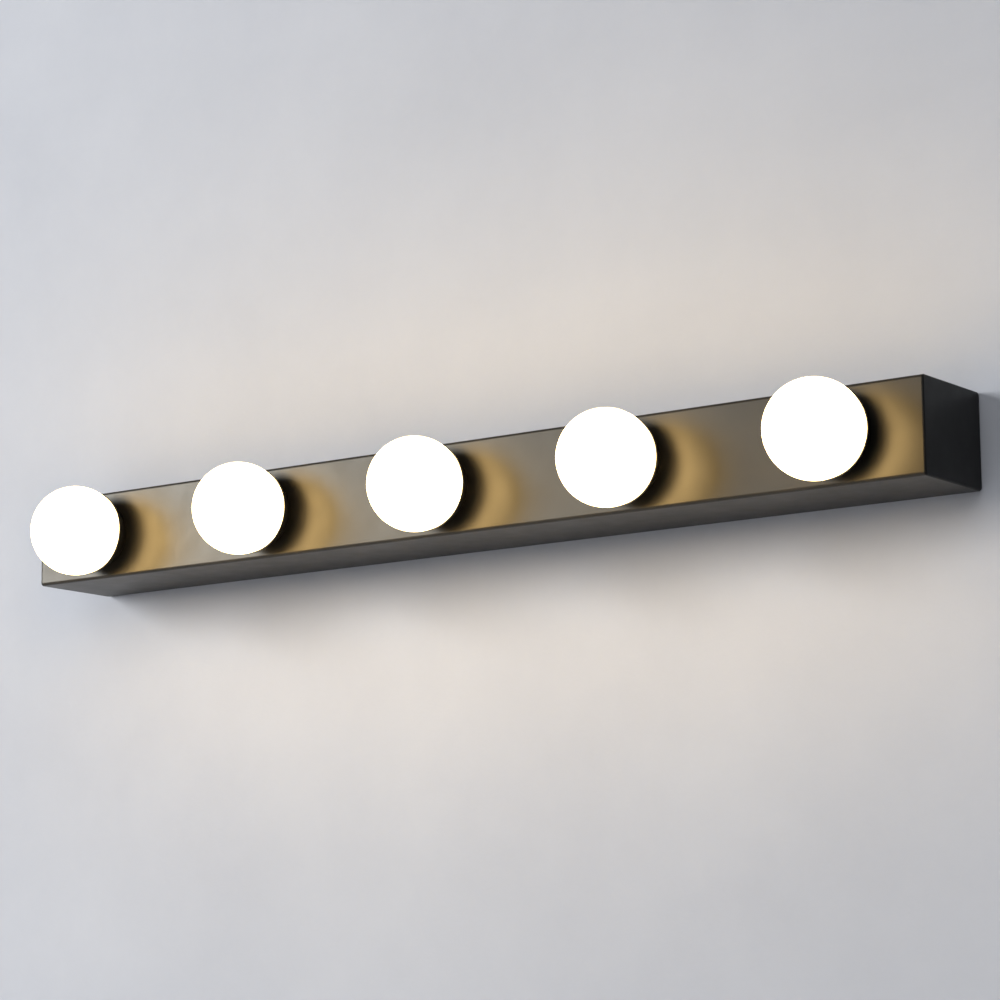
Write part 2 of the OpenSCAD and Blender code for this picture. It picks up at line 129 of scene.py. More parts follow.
def bump(nt, bsdf, height, strength, dist, prev=None):
    b = nt.nodes.new("ShaderNodeBump")
    b.inputs["Strength"].default_value = strength
    b.inputs["Distance"].default_value = dist
    nt.links.new(height, b.inputs["Height"])
    if prev is not None:
        nt.links.new(prev, b.inputs["Normal"])
    nt.links.new(b.outputs["Normal"], bsdf.inputs["Normal"])
    return b.outputs["Normal"]


def mix(nt, fac, a, b):
    n = nt.nodes.new("ShaderNodeMix")
    n.data_type = "RGBA"
    nt.links.new(fac, n.inputs["Factor"])
    for sock, v in ((n.inputs["A"], a), (n.inputs["B"], b)):
        pass
    ia = [s for s in n.inputs if s.type == "RGBA"]
    for sock, v in zip(ia, (a, b)):
        if isinstance(v, (tuple, list)):
            sock.default_value = (*v, 1.0) if len(v) == 3 else v
        else:
            nt.links.new(v, sock)
    return [o for o in n.outputs if o.type == "RGBA"][0]


def surface(name, col_a, col_b, rough=(0.4, 0.5), metallic=0.0, scale=60.0, grain=900.0,
            grain_bump=0.1, grain_dist=0.00005, wave=None, stretch=None, edge=None, ior=1.5, spec=0.5):
    """A finish with cloudy colour, varying roughness, a fine grain in relief and lighter rubbed edges."""
    mat, nt, bsdf = new_mat(name)
    cloud = noise(nt, scale, 5.0, 0.6, stretch)
    fine = noise(nt, grain, 3.0, 0.5, stretch)
    col = mix(nt, remap(nt, cloud, 0.0, 1.0), col_a, col_b)
    if edge:
        geo = nt.nodes.new("ShaderNodeNewGeometry")
        worn = remap(nt, geo.outputs["Pointiness"], 0.0, edge[1], 0.51, 0.60)
        col = mix(nt, worn, col, edge[0])
    nt.links.new(col, bsdf.inputs["Base Color"])
    nt.links.new(remap(nt, noise(nt, scale * 2.3, 4.0, 0.6, stretch), rough[0], rough[1]), bsdf.inputs["Roughness"])
    bsdf.inputs["Metallic"].default_value = metallic
    bsdf.inputs["IOR"].default_value = ior
    bsdf.inputs["Specular IOR Level"].default_value = spec
    prev = None
    if wave:
        prev = bump(nt, bsdf, noise(nt, wave[0], 2.0, 0.5), wave[1], wave[2])
    bump(nt, bsdf, fine, grain_bump, grain_dist, prev)
    return mat


MATS = {}
# painted warm light: the brown-black cast of this coat's base colour stands in for the warm glow of the lit globes on
# the channel
MATS["black_powder_coat"] = surface("black_powder_coat", (0.0130, 0.0108, 0.0078), (0.0175, 0.0147, 0.0108),
    rough=(0.37, 0.43), scale=26.0, grain=2600.0, grain_bump=0.22, grain_dist=0.00003,
    wave=(420.0, 0.12, 0.00008))
# painted reflection colour: the warm tint on the coat's reflections stands in for the warm colour of the globes'
# reflected light
MATS["black_powder_coat"].node_tree.nodes["Principled BSDF"].inputs["Specular Tint"].default_value = (1.0, 0.93, 0.78, 1.0)
# painted shade: the end plates get a darker, less glossy copy of the powder coat, so their faces look shaded
SHADED_END_COAT = surface("black_powder_coat_painted_shade", (0.0075, 0.0074, 0.0066), (0.0105, 0.0102, 0.0092),
    rough=(0.40, 0.46), scale=26.0, grain=2600.0, grain_bump=0.22, grain_dist=0.00003,
    wave=(420.0, 0.12, 0.00008), spec=0.2)
MATS["black_trim"] = surface("black_trim", (0.007, 0.007, 0.0065), (0.012, 0.0115, 0.011),
    rough=(0.30, 0.40), scale=90.0, grain=2200.0, grain_bump=0.10, grain_dist=0.00002,
    edge=((0.05, 0.048, 0.045), 0.6))
MATS["zinc_steel"] = surface("zinc_steel", (0.50, 0.52, 0.54), (0.66, 0.67, 0.68),
    rough=(0.26, 0.42), metallic=1.0, scale=45.0, grain=1800.0, grain_bump=0.06, grain_dist=0.00002,
    stretch=(0.25, 1.0, 1.0), edge=((0.80, 0.81, 0.82), 0.5))
MATS["brass"] = surface("brass", (0.66, 0.46, 0.19), (0.80, 0.60, 0.28),
    rough=(0.20, 0.34), metallic=1.0, scale=120.0, grain=2400.0, grain_bump=0.05, grain_dist=0.00002,
    edge=((0.92, 0.75, 0.42), 0.5))
MATS["nickel"] = surface("nickel", (0.62, 0.60, 0.56), (0.74, 0.72, 0.68),
    rough=(0.16, 0.28), metallic=1.0, scale=110.0, grain=2600.0, grain_bump=0.05, grain_dist=0.00002,
    edge=((0.86, 0.85, 0.82), 0.4))
MATS["white_plastic"] = surface("white_plastic", (0.78, 0.77, 0.75), (0.84, 0.83, 0.81),
    rough=(0.30, 0.42), scale=80.0, grain=1500.0, grain_bump=0.05, grain_dist=0.00003)
MATS["holder_black"] = surface("holder_black", (0.010, 0.010, 0.010), (0.018, 0.017, 0.016),
    rough=(0.38, 0.52), scale=120.0, grain=1900.0, grain_bump=0.12, grain_dist=0.00004,
    edge=((0.06, 0.058, 0.055), 0.4))
MATS["terminal_white"] = surface("terminal_white", (0.68, 0.67, 0.62), (0.78, 0.77, 0.72),
    rough=(0.36, 0.50), scale=140.0, grain=1600.0, grain_bump=0.08, grain_dist=0.00003)
MATS["rubber_black"] = surface("rubber_black", (0.012, 0.012, 0.012), (0.022, 0.021, 0.020),
    rough=(0.60, 0.75), scale=160.0, grain=2100.0, grain_bump=0.18, grain_dist=0.00004)
MATS["led_board"] = surface("led_board", (0.76, 0.76, 0.74), (0.84, 0.84, 0.82),
    rough=(0.30, 0.42), scale=200.0, grain=2500.0, grain_bump=0.05, grain_dist=0.00002)
MATS["circuit_green"] = surface("circuit_green", (0.010, 0.10, 0.035), (0.020, 0.16, 0.055),
    rough=(0.25, 0.40), scale=260.0, grain=2500.0, grain_bump=0.08, grain_dist=0.00003)
MATS["insulator_black"] = surface("insulator_black", (0.006, 0.006, 0.009), (0.012, 0.012, 0.016),
    rough=(0.08, 0.18), scale=150.0, grain=2200.0, grain_bump=0.05, grain_dist=0.00002)
MATS["wire_brown"] = surface("wire_brown", (0.095, 0.036, 0.014), (0.13, 0.052, 0.022),
    rough=(0.36, 0.50), scale=140.0, grain=1500.0, grain_bump=0.10, grain_dist=0.00004)
MATS["wire_blue"] = surface("wire_blue", (0.012, 0.040, 0.22), (0.020, 0.058, 0.28),
    rough=(0.36, 0.50), scale=140.0, grain=1500.0, grain_bump=0.10, grain_dist=0.00004)

# green lead with a yellow stripe that winds round it
mat, nt, bsdf = new_mat("wire_green")
uv = nt.nodes.new("ShaderNodeTexCoord").outputs["UV"]
wv = nt.nodes.new("ShaderNodeTexWave")
wv.inputs["Scale"].default_value = 0.35
wv.inputs["Distortion"].default_value = 0.4
nt.links.new(uv, wv.inputs["Vector"])
nt.links.new(ramp(nt, wv.outputs["Fac"], [(0.0, (0.06, 0.22, 0.03)), (0.48, (0.07, 0.25, 0.03)),
    (0.54, (0.62, 0.52, 0.03)), (1.0, (0.66, 0.56, 0.04))]), bsdf.inputs["Base Color"])
nt.links.new(remap(nt, noise(nt, 300.0), 0.36, 0.5), bsdf.inputs["Roughness"])
bump(nt, bsdf, noise(nt, 1500.0), 0.1, 0.00004)
MATS["wire_green"] = mat

# opal diffuser, lit from inside: warm light, a little cloudy
mat, nt, bsdf = new_mat("opal")
nt.links.new(mix(nt, remap(nt, noise(nt, 40.0, 3.0), 0.0, 1.0), (0.80, 0.78, 0.72), (0.86, 0.84, 0.79)), bsdf.inputs["Base Color"])
nt.links.new(remap(nt, noise(nt, 90.0, 3.0), 0.18, 0.30), bsdf.inputs["Roughness"])
bsdf.inputs["IOR"].default_value = 1.5
bsdf.inputs["Emission Color"].default_value = (1.0, 0.86, 0.66, 1.0)
bsdf.inputs["Emission Strength"].default_value = 1.7
bump(nt, bsdf, noise(nt, 700.0, 2.0), 0.03, 0.00004)
MATS["opal"] = mat

for node, ob in frame["nodes"].items():
    slot = next(s["material_slot"] for s in frame["record"]["subparts"] if s["node"] == node)
    ob.data.materials.clear()
    ob.data.materials.append(MATS[slot])


# ---------------------------------------------------------------- mesh helpers
def finish_mesh(bm, name, slot, angle=38.0, recalc=True):
    bmesh.ops.remove_doubles(bm, verts=bm.verts, dist=1e-7)
    if recalc:
        bmesh.ops.recalc_face_normals(bm, faces=bm.faces)
    me = bpy.data.meshes.new(name)
    for f in bm.faces:
        f.smooth = True
    for e in bm.edges:
        if len(e.link_faces) == 2 and e.calc_face_angle(0.0) > math.radians(angle):
            e.smooth = False
    bm.to_mesh(me)
    bm.free()
    me.materials.append(MATS[slot])
    ob = bpy.data.objects.new(name, me)
    scene.collection.objects.link(ob)
    return ob


def place(ob, body, slot, *nodes):
    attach(ob, body)
    if nodes:
        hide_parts(*nodes)
    return ob


def fillet(pts, radii, n=4, closed=True):
    """Rounds the corners of a 2D outline. radii: one number or one for each corner."""
    out = []
    k = len(pts)
    for i in range(k):
        r = radii if isinstance(radii, (int, float)) else radii[i]
        p = Vector(pts[i])
        if (not closed and i in (0, k - 1)) or r <= 0:
            out.append((p.x, p.y))
            continue
        a, b = Vector(pts[i - 1]) - p, Vector(pts[(i + 1) % k]) - p
        la, lb = a.length, b.length
        if la < 1e-9 or lb < 1e-9:
            continue
        a, b = a / la, b / lb
        ang = a.angle(b)
        if ang > math.radians(176):
            out.append((p.x, p.y))
            continue
        d = min(r / math.tan(ang / 2), la * 0.48, lb * 0.48)
        r2 = d * math.tan(ang / 2)
        c = p + (a + b).normalized() * (r2 / math.sin(ang / 2))
        s, e = p + a * d, p + b * d
        v0, v1 = s - c, e - c
        tot = v0.angle(v1)
        cr = v0.x * v1.y - v0.y * v1.x
        sg = 1 if cr > 0 else -1
        for j in range(n + 1):
            t = sg * tot * j / n
            out.append((c.x + v0.x * math.cos(t) - v0.y * math.sin(t), c.y + v0.x * math.sin(t) + v0.y * math.cos(t)))
    return out


def lathe(name, slot, profile, x, segs=96, helix=None, angle=38.0, centre=None):
    """Turns a closed (r, a) outline about the lamp axis at x: a is the distance out of the front face, in mm.
    helix(r, a, i) gives the amplitude of the thread at outline point i."""
    bm = bmesh.new()
    cols = []
    for s in range(segs):
        th = 2 * math.pi * s / segs
        col = []
        for i, (r, a) in enumerate(profile):
            rr = r
            if helix and r > 1e-6:
                rr = r + helix(i, r, a, th)
            if r <= 1e-6 and cols:
                col.append(cols[0][i])
                continue
            lx, ly = rr * math.cos(th), rr * math.sin(th)
            if centre:
                co = centre(lx, ly, a)
            else:
                co = Vector(((x + lx) * MM, (-D - a) * MM, ly * MM))
            col.append(bm.verts.new(co))
        cols.append(col)
    n = len(profile)
    for s in range(segs):
        c0, c1 = cols[s], cols[(s + 1) % segs]
        for i in range(n):
            j = (i + 1) % n
            vs = [c0[i], c0[j], c1[j], c1[i]]
            u = []
            for v in vs:
                if v not in u:
                    u.append(v)
            if len(u) >= 3:
                try:
                    bm.faces.new(u)
                except ValueError:
                    pass
    return finish_mesh(bm, name, slot, angle)


def arc(cx, cy, r, a0, a1, n):
    return [(cx + r * math.cos(math.radians(a0 + (a1 - a0) * i / n)), cy + r * math.sin(math.radians(a0 + (a1 - a0) * i / n)))
            for i in range(n + 1)]


def prism(outline, x0, x1):
    """bmesh of a (y, z) outline in mm from x0 to x1."""
    bm = bmesh.new()
    a = [bm.verts.new((x0 * MM, y * MM, z * MM)) for y, z in outline]
    b = [bm.verts.new((x1 * MM, y * MM, z * MM)) for y, z in outline]
    n = len(outline)
    for i in range(n):
        j = (i + 1) % n
        bm.faces.new((a[i], a[j], b[j], b[i]))
    bm.faces.new(a)
    bm.faces.new(list(reversed(b)))
    bmesh.ops.recalc_face_normals(bm, faces=bm.faces)
    return bm


def cyl_y(x, z, y0, y1, r, segs=96, rz=None):
    bm = bmesh.new()
    a = [bm.verts.new(((x + r * math.cos(2 * math.pi * i / segs)) * MM, y0 * MM, (z + r * math.sin(2 * math.pi * i / segs)) * MM)) for i in range(segs)]
    b = [bm.verts.new((v.co.x, y1 * MM, v.co.z)) for v in a]
    for i in range(segs):
        j = (i + 1) % segs
        bm.faces.new((a[i], a[j], b[j], b[i]))
    bm.faces.new(a)
    bm.faces.new(list(reversed(b)))
    bmesh.ops.recalc_face_normals(bm, faces=bm.faces)
    return bm


def cyl_z(x, y, z0, z1, r, segs=48):
    bm = cyl_y(0, 0, z0, z1, r, segs)
    for v in bm.verts:
        v.co = Vector((v.co.x + x * MM, v.co.z + y * MM, v.co.y))
    bmesh.ops.recalc_face_normals(bm, faces=bm.faces)
    return bm


def box_bm(x0, x1, y0, y1, z0, z1):
    bm = bmesh.new()
    bmesh.ops.create_cube(bm, size=1.0)
    for v in bm.verts:
        v.co = Vector(((x0 + x1) / 2 + v.co.x * (x1 - x0), (y0 + y1) / 2 + v.co.y * (y1 - y0), (z0 + z1) / 2 + v.co.z * (z1 - z0))) * MM
    return bm


def to_ob(bm, name):
    me = bpy.data.meshes.new(name)
    bm.to_mesh(me)
    bm.free()
    ob = bpy.data.objects.new(name, me)
    scene.collection.objects.link(ob)
    return ob


def cut(base, cutters):
    """Boolean difference of bmeshes, applied."""
    ob = to_ob(base, "tmp_base")
    gone = [ob]
    for c in cutters:
        co = to_ob(c, "tmp_cut")
        gone.append(co)
        md = ob.modifiers.new("b", "BOOLEAN")
        md.operation, md.solver, md.object = "DIFFERENCE", "EXACT", co
    dg = bpy.context.evaluated_depsgraph_get()
    me = bpy.data.meshes.new_from_object(ob.evaluated_get(dg))
    bm = bmesh.new()
    bm.from_mesh(me)
    for o in gone:
        bpy.data.objects.remove(o)
    bpy.data.meshes.remove(me)
    return bm


def bevelled(bm, name, slot, width, segs=2, angle=40.0, limit=35.0):
    """Dissolves flat seams, rounds the sharp edges and leaves a piece with even shading."""
    bmesh.ops.remove_doubles(bm, verts=bm.verts, dist=2e-6)
    bmesh.ops.dissolve_limit(bm, angle_limit=math.radians(0.5), verts=bm.verts, edges=bm.edges)
    ob = finish_mesh(bm, name, slot, 180.0)
    md = ob.modifiers.new("round", "BEVEL")
    md.width, md.segments = width * MM, segs
    md.limit_method, md.angle_limit = "ANGLE", math.radians(limit)
    md.harden_normals = False
    md.use_clamp_overlap = True
    wn = ob.modifiers.new("even", "WEIGHTED_NORMAL")
    wn.keep_sharp = True
    wn.weight = 60
    return ob


# ---------------------------------------------------------------- the bar
half_in = H / 2 - T
RB = 2.2


def channel_outline(y0, y1, h, th, ro, n=10):
    return ([(y1, -h)] + arc(y0 + ro, -h + ro, ro, 270, 180, n) + arc(y0 + ro, h - ro, ro, 180, 90, n)
            + [(y1, h), (y1, h - th)] + arc(y0 + ro, h - ro, ro - th, 90, 180, n)
            + arc(y0 + ro, -h + ro, ro - th, 180, 270, n) + [(y1, -h + th)])


cutters = [cyl_y(x, 0, -D - 1, -D + T + 1, 20.3, 128) for x in XS]
cutters += [cyl_z(x, -9.5, half_in - 1, H / 2 + 1, 2.25, 48) for x in (-240, 240)]
ch = bevelled(cut(prism(channel_outline(-D, -0.6, H / 2, T, RB), -L / 2 + T, L / 2 - T), cutters),
              "bar_channel_sheet", "black_powder_coat", 0.22, 2)
place(ch, "bar", "black_powder_coat", "bar_channel")

for side, sg in (("left", -1), ("right", 1)):
    # pressed plate: its rim is rolled over a millimetre radius all round
    plate = (arc(-D + RB, -H / 2 + RB, RB, 270, 180, 10) + arc(-D + RB, H / 2 - RB, RB, 180, 90, 10)
             + arc(-2.4, H / 2 - 2.4, 2.4, 90, 0, 12) + arc(-2.4, -H / 2 + 2.4, 2.4, 0, -90, 12))
    cy, cz = -D / 2, 0.0
    bm = bmesh.new()
    rings = []
    def ring(x, inset):
        vs = []
        k = len(plate)
        for i in range(k):
            p, q, s = Vector(plate[i - 1]), Vector(plate[i]), Vector(plate[(i + 1) % k])
            t = ((q - p).normalized() + (s - q).normalized())
            t = t.normalized() if t.length > 1e-9 else (s - p).normalized()
            nrm = Vector((t.y, -t.x))
            if nrm.dot(q - Vector((cy, cz))) > 0:
                nrm = -nrm
            w = q + nrm * inset
            vs.append(bm.verts.new((sg * x * MM, w.x * MM, w.y * MM)))
        return vs
    x_in, x_out, rr = L / 2 - T, L / 2, 1.0
    rings.append(ring(x_in, 0.25))
    rings.append(ring(x_in + 0.07, 0.07))
    rings.append(ring(x_in + 0.2, 0.0))
    for j in range(9):
        a = math.radians(90 * j / 8)
        rings.append(ring(x_out - rr + rr * math.sin(a), rr - rr * math.cos(a)))
    k = len(plate)
    for u, v in zip(rings, rings[1:]):
        for i in range(k):
            j = (i + 1) % k
            bm.faces.new((u[i], u[j], v[j], v[i]))
    bm.faces.new(rings[-1])
    bm.faces.new(rings[0])
    # the flange that runs inside the channel, as a second shell of the same piece
    fl = prism(channel_outline(-D + T + 0.1, -4, half_in - 0.1, T, T + 0.3), min(sg * (L / 2 - T - 10), sg * (L / 2 - T - 0.02)), max(sg * (L / 2 - T - 10), sg * (L / 2 - T - 0.02)))
    me = bpy.data.meshes.new("tmp")
    fl.to_mesh(me)
    fl.free()
    bm.from_mesh(me)
    bpy.data.meshes.remove(me)
    ob = finish_mesh(bm, "end_plate_" + side + "_pressed", "black_powder_coat", 32.0)
    # the end plate gets the darker copy of the coat: painted shade
    ob.data.materials[0] = SHADED_END_COAT
    place(ob, "bar", "black_powder_coat", "end_plate_" + side)

# ---------------------------------------------------------------- globes, collars, necks
R, STAND, WALL, NECK = 30.5, 27.2, 1.3, 17.6
SEAT = STAND - math.sqrt(R * R - NECK * NECK)
RI = R - WALL


def globe_profile():
    a_end = math.degrees(math.asin(NECK / R))          # from the back pole
    pts = [(R * math.sin(math.radians(t)), STAND + R * math.cos(math.radians(t)))
           for t in [i * (180 - a_end) / 60 for i in range(61)]]
    pts += [(17.3, SEAT - 0.02), (16.55, SEAT), (16.4, SEAT - 0.15), (16.4, 0.7), (16.2, 0.5), (15.4, 0.5), (15.2, 0.7)]
    b_end = math.degrees(math.asin(15.2 / RI))
    pts += [(RI * math.sin(math.radians(t)), STAND + RI * math.cos(math.radians(t)))
            for t in [(180 - b_end) * (1 - i / 48) for i in range(49)]]
    return pts


def lip(r):
    return STAND - math.sqrt((R + 0.4) ** 2 - r * r)


FOOT, CUP, CUP_A = 21.6, 28.3, 13.5
for i, x in enumerate(XS, 1):
    g = lathe("bulb_%d_opal_globe" % i, "opal", globe_profile(), x, 128, angle=30)
    place(g, "bulb_%d" % i, "opal", "bulb_%d_globe" % i)
    prof = [(16.5, SEAT - 0.08), (NECK, SEAT - 0.08), (NECK, 1.2), (14.0, -9.5), (13.5, -10.15), (12.0, -10.15), (12.0, -14.0),
            (10.8, -14.0), (10.8, -10.4), (12.6, -8.6), (14.6, -2.4), (14.6, -1.1), (15.3, -1.1), (15.3, 0.3), (16.5, 0.3)]
    nk = lathe("bulb_%d_neck_moulding" % i, "white_plastic", fillet(prof, [0.1, 0.35, 1.2, 0.6, 0.2, 0.1, 0.2, 0.1, 0.3, 0.5, 0.3, 0.1, 0.1, 0.1, 0.1], 4), x, 96)
    place(nk, "bulb_%d" % i, "white_plastic", "bulb_%d_neck" % i)

def join_bm(parts, name, slot, angle=38.0):
    """Joins finished objects into one piece."""
    me = bpy.data.meshes.new(name)
    bm = bmesh.new()
    for o in parts:
        bm.from_mesh(o.data)
    bm.to_mesh(me)
    bm.free()
    me.materials.append(MATS[slot])
    for o in parts:
        bpy.data.objects.remove(o)
    ob = bpy.data.objects.new(name, me)
    scene.collection.objects.link(ob)
    return ob


parts = []
for x in XS:
    rim = [(r, lip(r)) for r in [CUP - 0.55 - (CUP - 0.55 - 20.3) * j / 14 for j in range(15)]]
    outer = [(20.1, 0.0), (FOOT, 0.0), (FOOT + 0.25, 0.25), (FOOT + 0.5, 1.2), (FOOT + 2.0, 4.2), (FOOT + 3.7, 7.4), (CUP - 0.1, CUP_A - 0.75),
             (CUP, CUP_A - 0.45), (CUP - 0.08, CUP_A - 0.18), (CUP - 0.3, CUP_A)]
    parts.append(lathe("tmp", "black_trim", outer + rim + [(20.1, lip(20.3) - 0.4)], x, 128, angle=50))
co = join_bm(parts, "lampholder_collars_turned", "black_trim")
place(co, "bar", "black_trim", "lampholder_collars")

# ---------------------------------------------------------------- lamp threads
LAMP_PITCH = 3.629


def wave(a, th, pitch):
    return 0.5 - 0.5 * math.cos(2 * math.pi * (a / pitch - th / (2 * math.pi)))


def zone(a, a0, a1, run):
    """1 inside a0..a1, falling to 0 over the run at each end."""
    return max(0.0, min(1.0, (a1 - a) / run, (a - a0) / run))


def steps(a0, a1, per, pitch):
    n = max(2, round(abs(a1 - a0) / pitch * per))
    return [a0 + (a1 - a0) * i / n for i in range(n + 1)]


cap_out = [(13.25, -10.3), (13.75, -10.42), (13.9, -10.6), (13.9, -10.95), (13.7, -11.15), (12.75, -11.75), (12.5, -12.1)]
cap_thread = [(12.45, a) for a in steps(-12.4, -30.9, 10, LAMP_PITCH)]
cap_end = [(12.3, -31.3), (11.9, -31.9), (11.3, -32.45), (10.9, -32.6), (10.7, -32.4), (11.2, -32.05), (11.75, -31.3), (12.08, -30.4),
           (12.08, -12.2), (12.3, -11.5), (12.9, -10.95), (13.0, -10.5)]
c0, c1 = len(cap_out), len(cap_out) + len(cap_thread)
cap_helix = lambda i, r, a, th: 0.70 * wave(a, th, LAMP_PITCH) * zone(a, -30.9, -12.4, 1.3) if c0 <= i < c1 else 0.0
sh_out = [(13.95, -12.6), (14.15, -12.65), (14.25, -12.85), (14.25, -33.7), (14.1, -33.9), (12.3, -33.9), (12.2, -33.8), (12.25, -33.5), (13.2, -33.4)]
sh_thread = [(13.0, a) for a in steps(-33.2, -13.0, 10, LAMP_PITCH)]
sh_end = [(13.75, -12.7)]
s0, s1 = len(sh_out), len(sh_out) + len(sh_thread)
sh_helix = lambda i, r, a, th: (0.62 * wave(a, th, LAMP_PITCH) * zone(a, -33.2, -13.0, 1.2) + 0.62 * (1 - zone(a, -60.0, -13.0, 1.2))) if s0 <= i < s1 else 0.0
parts = [lathe("tmp", "brass", sh_out + sh_thread + sh_end, x, 64, helix=sh_helix, angle=60) for x in XS]
place(join_bm(parts, "lampholder_shells_threaded", "brass"), "bar", "brass", "lampholder_shells")

for i, x in enumerate(XS, 1):
    cap = lathe("bulb_%d_threaded_cap" % i, "nickel", cap_out + cap_thread + cap_end, x, 72, helix=cap_helix, angle=60)
    place(cap, "bulb_%d" % i, "nickel", "bulb_%d_screw_cap" % i)
    ins = [(10.35, -31.3), (10.45, -31.9), (10.35, -32.6), (9.4, -33.6), (7.6, -35.0), (5.4, -35.8), (0.0, -35.8), (0.0, -31.3)]
    ins = fillet(ins, [0.2, 0.3, 0.6, 1.0, 1.2, 0.4, 0, 0], 4)
    place(lathe("bulb_%d_glass_insulator" % i, "insulator_black", ins, x, 72, angle=60), "bulb_%d_tip" % i, "insulator_black", "bulb_%d_insulator" % i)
    con = [(0.0, -35.82), (4.7, -35.82), (4.7, -36.3), (3.9, -36.9), (2.2, -37.3), (0.0, -37.4)]
    con = fillet(con, [0, 0.15, 0.3, 0.8, 1.0, 0], 4)
    place(lathe("bulb_%d_solder_contact" % i, "brass", con, x, 48, angle=60), "bulb_%d_tip" % i, "brass", "bulb_%d_contact" % i)

# ---------------------------------------------------------------- lampholder bodies
prof = [(18.7, 2.6), (20.0, 2.6), (20.0, -1.2), (23.0, -1.2), (23.0, -3.7), (20.0, -3.7), (20.0, -10.0), (17.0, -14.0), (17.0, -43.0),
        (16.0, -44.0), (0.0, -44.0), (0.0, -38.8), (12.0, -38.8), (12.0, -34.2), (14.4, -34.2), (14.4, -9.8)]
prof = fillet(prof, [0.3, 0.3, 0, 0.4, 0.4, 0.3, 0.8, 1.5, 0.5, 0.5, 0, 0, 0.5, 0.2, 0.2, 0.8], 4)
ob = lathe("tmp", "holder_black", prof, 0.0, 96, angle=35)
base = bmesh.new()
base.from_mesh(ob.data)
bpy.data.objects.remove(ob)
cuts = [cyl_y(sx, 0, -D + 40.0, -D + 44.6, 3.3, 40) for sx in (-9.0, 9.0)]
# the channels where the leads come in under the terminal screws, and flats on the flange
cuts += [box_bm(sx - 1.5, sx + 1.5, -D + 41.4, -D + 44.6, 0.0, 18.0) for sx in (-9.0, 9.0)]
cuts += [box_bm(-24, 24, -D + 1.1, -D + 3.9, sz * 22.2 - 0.9, sz * 22.2 + 0.9) for sz in (-1, 1)]
body = cut(base, cuts)
me = bpy.data.meshes.new("tmp")
body.to_mesh(me)
body.free()
bm = bmesh.new()
for x in XS:
    n0 = len(bm.verts)
    bm.from_mesh(me)
    bm.verts.ensure_lookup_table()
    for v in bm.verts[n0:]:
        v.co.x += x * MM
bpy.data.meshes.remove(me)
place(finish_mesh(bm, "lampholder_bodies_moulded", "holder_black", 35.0), "bar", "holder_black", "lampholder_bodies")

# ---------------------------------------------------------------- fixing screws and washers
def screw_profile(shank_r, l, head_r, head_h, pitch):
    tip = [(0.0, -l), (shank_r - 0.75, -l), (shank_r - 0.4, -l + 0.35)]
    thr = [(shank_r - 0.34, a) for a in steps(-l + 0.5, -0.5, 8, pitch)]
    head = [(shank_r - 0.2, -0.3), (shank_r, 0.0), (head_r - 0.18, 0.0), (head_r - 0.03, 0.07), (head_r, 0.25), (head_r, head_h * 0.42)]
    head += [(head_r * math.cos(math.radians(t)) ** 0.8, head_h * (0.42 + 0.58 * math.sin(math.radians(t)))) for t in range(12, 90, 12)] + [(0.0, head_h)]
    return tip + thr + head, len(tip), len(tip) + len(thr)


for side, sg in (("left", -1), ("right", 1)):
    X = sg * 240.0
    prof, t0, t1 = screw_profile(1.95, 9.0, 3.9, 2.5, 0.7)
    hx = lambda i, r, a, th: 0.34 * (1 - abs(2 * ((a / 0.7 - th / (2 * math.pi)) % 1.0) - 1)) if t0 <= i < t1 else 0.0
    place_z = lambda lx, ly, a: Vector(((X + lx) * MM, (-9.5 + ly) * MM, (30.8 + a) * MM))
    ob = lathe("tmp", "black_trim", prof, 0, 48, helix=hx, angle=50, centre=place_z)
    base = bmesh.new()
    base.from_mesh(ob.data)
    bpy.data.objects.remove(ob)
    cuts = []
    for w, l in ((0.55, 2.4), (2.4, 0.55)):
        c = box_bm(X - w, X + w, -9.5 - l, -9.5 + l, 30.8 + 0.9, 30.8 + 3.0)
        for v in c.verts:
            if v.co.z < (30.8 + 1.5) * MM:
                v.co.x = X * MM + (v.co.x - X * MM) * 0.55
                v.co.y = -9.5 * MM + (v.co.y + 9.5 * MM) * 0.55
        cuts.append(c)
    place(finish_mesh(cut(base, cuts), "fixing_screw_%s_cross" % side, "black_trim", 40.0), side + "_screw", "black_trim", "fixing_screw_" + side)
    wp = fillet([(2.03, 0.0), (4.5, 0.0), (4.5, 0.8), (2.03, 0.8)], [0.05, 0.12, 0.28, 0.12], 4)
    wz = lambda lx, ly, a: Vector(((X + lx) * MM, (-9.5 + ly) * MM, (30.0 + a) * MM))
    place(lathe("fixing_washer_%s_pressed" % side, "black_trim", wp, 0, 64, angle=50, centre=wz), side + "_washer", "black_trim", "fixing_washer_" + side)

# ---------------------------------------------------------------- wall bracket
bh, bt2, fd = 28.5, 1.5, 16.0
def bracket_outline():
    o = channel_outline(0.0, fd, bh, bt2, 2.5, 8)
    return [(-y, z) for y, z in reversed(o)]


